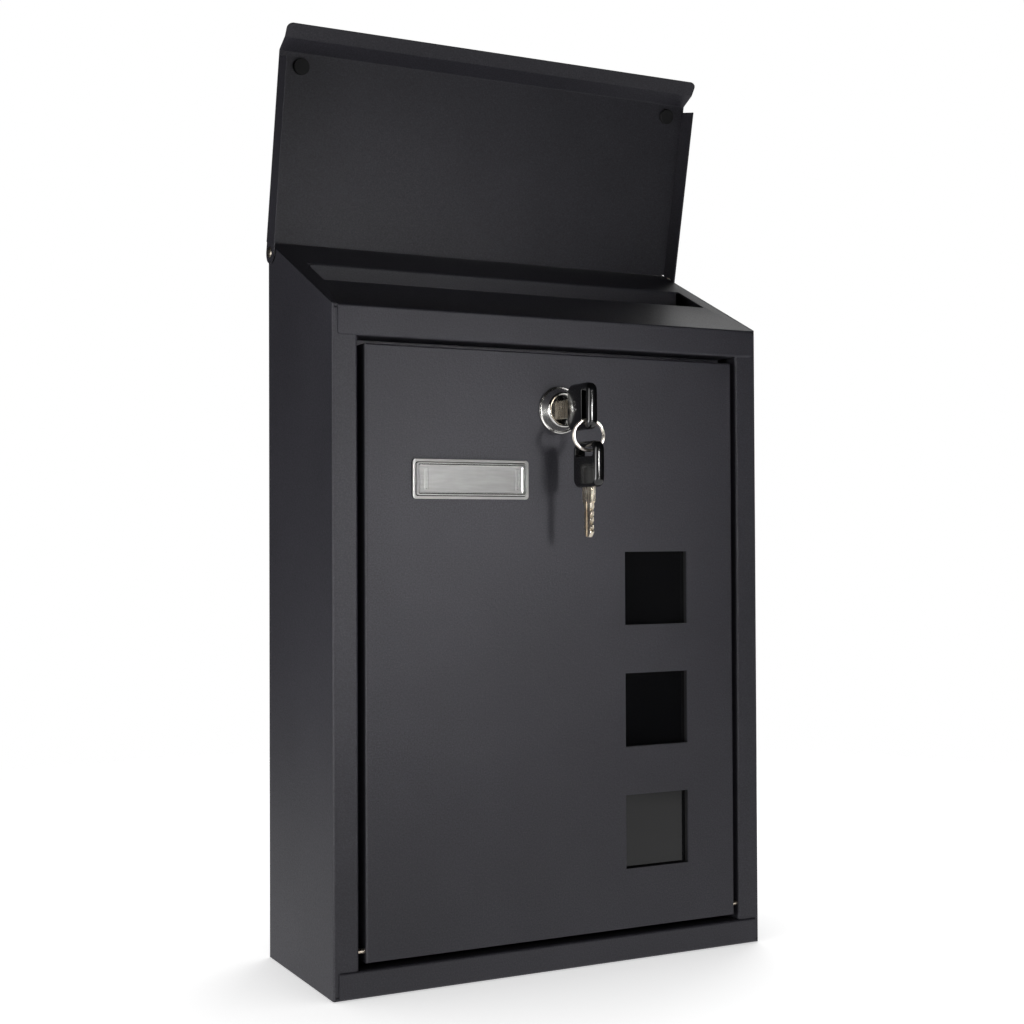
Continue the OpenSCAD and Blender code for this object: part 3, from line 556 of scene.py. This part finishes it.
# ---------------------------------------------------------------- small parts
broken_edges("lid_bumpers", "bumper_discs", "lid", 0.5, 4)
for node, name, body, bevel_mm in (
        ("lock_plug", "lock_core", "plug", 0.12), ("lock_nut", "lock_ring_nut", "door", 0.25),
        ("lock_cam", "cam_plate", "plug", 0.2), ("cam_screw", "cam_screw_head", "plug", 0.12),
        ("pane_gasket", "gasket_strips", "door", 0.2)):
    broken_edges(node, name, body, bevel_mm)

# ---------------------------------------------------------------- stage, in metres
FLOOR_R = 1.6
FLOOR_DROP = 0.0004             # keeps the floor clear of the casing's underside
FADE_FROM, FADE_TO = 0.5, 0.78  # the floor fades out between these radii
FLOOR_LIT = 0.66                # how bright the floor is to everything but the camera
CONTACT = 0.16                  # reach of the soft shadow at the casing's foot


def pale_floor():
    """White to the camera but for a soft contact shadow, and dimmer as a reflector."""
    p = Paint("pale_floor", Roughness=0.8, Emission_Color=(1, 1, 1, 1))
    mottle = p.noise(30, 3, 0.5)
    p.to("Base Color", p.colours(mottle, (0.3, (0.74, 0.74, 0.745)), (0.7, (0.78, 0.78, 0.785))))
    length = p.tree.nodes.new("ShaderNodeVectorMath")
    length.operation = "LENGTH"
    p.link(p.coord, length.inputs[0])
    clear = p.tree.nodes.new("ShaderNodeBsdfTransparent")
    blend = p.tree.nodes.new("ShaderNodeMixShader")
    p.link(p.mapped(length.outputs["Value"], FADE_FROM, FADE_TO, 0.0, 1.0), blend.inputs[0])
    p.link(p.shader.outputs[0], blend.inputs[1])
    p.link(clear.outputs[0], blend.inputs[2])
    p.link(blend.outputs[0], p.out.inputs["Surface"])
    to_camera = p.tree.nodes.new("ShaderNodeLightPath").outputs["Is Camera Ray"]
    contact = p.tree.nodes.new("ShaderNodeAmbientOcclusion")
    contact.inputs["Distance"].default_value = CONTACT
    glow = p.mapped(contact.outputs["AO"], 0.35, 0.95, 0.55, 1.0)
    p.to("Emission Strength", p.math("ADD", p.math("MULTIPLY", to_camera, glow),
                                     p.mapped(to_camera, 0.0, 1.0, FLOOR_LIT, 0.0)))
    return p.mat


floor_mesh = bpy.data.meshes.new("floor")
bm = bmesh.new()
bmesh.ops.create_circle(bm, cap_ends=True, radius=FLOOR_R, segments=96)
bm.to_mesh(floor_mesh)
bm.free()
floor = bpy.data.objects.new("floor", floor_mesh)
scene.collection.objects.link(floor)
floor.location = (0, 0, -FLOOR_DROP)
floor.data.materials.append(pale_floor())


# ---------------------------------------------------------------- light
def studio_world():
    """White behind the object, and a dim sky that lights it a little from above."""
    world = bpy.data.worlds.new("studio")
    world.use_nodes = True
    tree = world.node_tree
    tree.nodes.clear()
    output = tree.nodes.new("ShaderNodeOutputWorld")
    seen = tree.nodes.new("ShaderNodeBackground")
    seen.inputs["Color"].default_value = (1, 1, 1, 1)
    seen.inputs["Strength"].default_value = 1.0
    lit = tree.nodes.new("ShaderNodeBackground")
    lit.inputs["Strength"].default_value = 0.012
    sky = tree.nodes.new("ShaderNodeTexCoord")
    split = tree.nodes.new("ShaderNodeSeparateXYZ")
    tree.links.new(sky.outputs["Generated"], split.inputs[0])
    ramp = tree.nodes.new("ShaderNodeValToRGB")
    low, high = ramp.color_ramp.elements
    low.position, low.color = 0.02, (0.03, 0.03, 0.034, 1)
    high.position, high.color = 0.7, (0.9, 0.9, 0.93, 1)
    tree.links.new(split.outputs["Z"], ramp.inputs["Fac"])
    tree.links.new(ramp.outputs["Color"], lit.inputs["Color"])
    path = tree.nodes.new("ShaderNodeLightPath")
    mix = tree.nodes.new("ShaderNodeMixShader")
    tree.links.new(path.outputs["Is Camera Ray"], mix.inputs[0])
    tree.links.new(lit.outputs[0], mix.inputs[1])
    tree.links.new(seen.outputs[0], mix.inputs[2])
    tree.links.new(mix.outputs[0], output.inputs["Surface"])
    return world


def softbox(name, at, aim, size, power, spread=180):
    """A square area light; places in metres, power in watts, spread in degrees."""
    data = bpy.data.lights.new(name, "AREA")
    data.energy = power
    data.shape = "SQUARE"
    data.size = size
    data.spread = radians(spread)
    light = bpy.data.objects.new(name, data)
    scene.collection.objects.link(light)
    light.location = at
    direction = Vector(aim) - Vector(at)
    light.rotation_euler = direction.to_track_quat("-Z", "Y").to_euler()
    light.visible_camera = False
    return light


scene.world = studio_world()
softbox("key_beam", (0.13, -0.95, 0.29), (-0.04, -0.04, 0.23), 0.12, 0.080, 26)
softbox("floor_fill", (0.05, -0.62, 0.012), (0, -0.04, 0.36), 0.4, 0.55, 120)
softbox("back_right", (0.75, 0.75, 0.65), (0.08, 0, 0.33), 0.8, 2.0, 120)
softbox("left_side", (-1.3, -0.30, 0.12), (-0.11, 0, 0.10), 0.5, 0.55, 70)
softbox("left_low", (-0.8, -0.1, 0.03), (-0.11, 0, 0.15), 0.4, 0.8, 120)
# seen only in reflections, so that the chrome has something bright to mirror
reflector = softbox("left_reflector", (-1.1, -0.65, 0.35), (0, -0.05, 0.26), 0.9, 4.0)
reflector.visible_diffuse = False
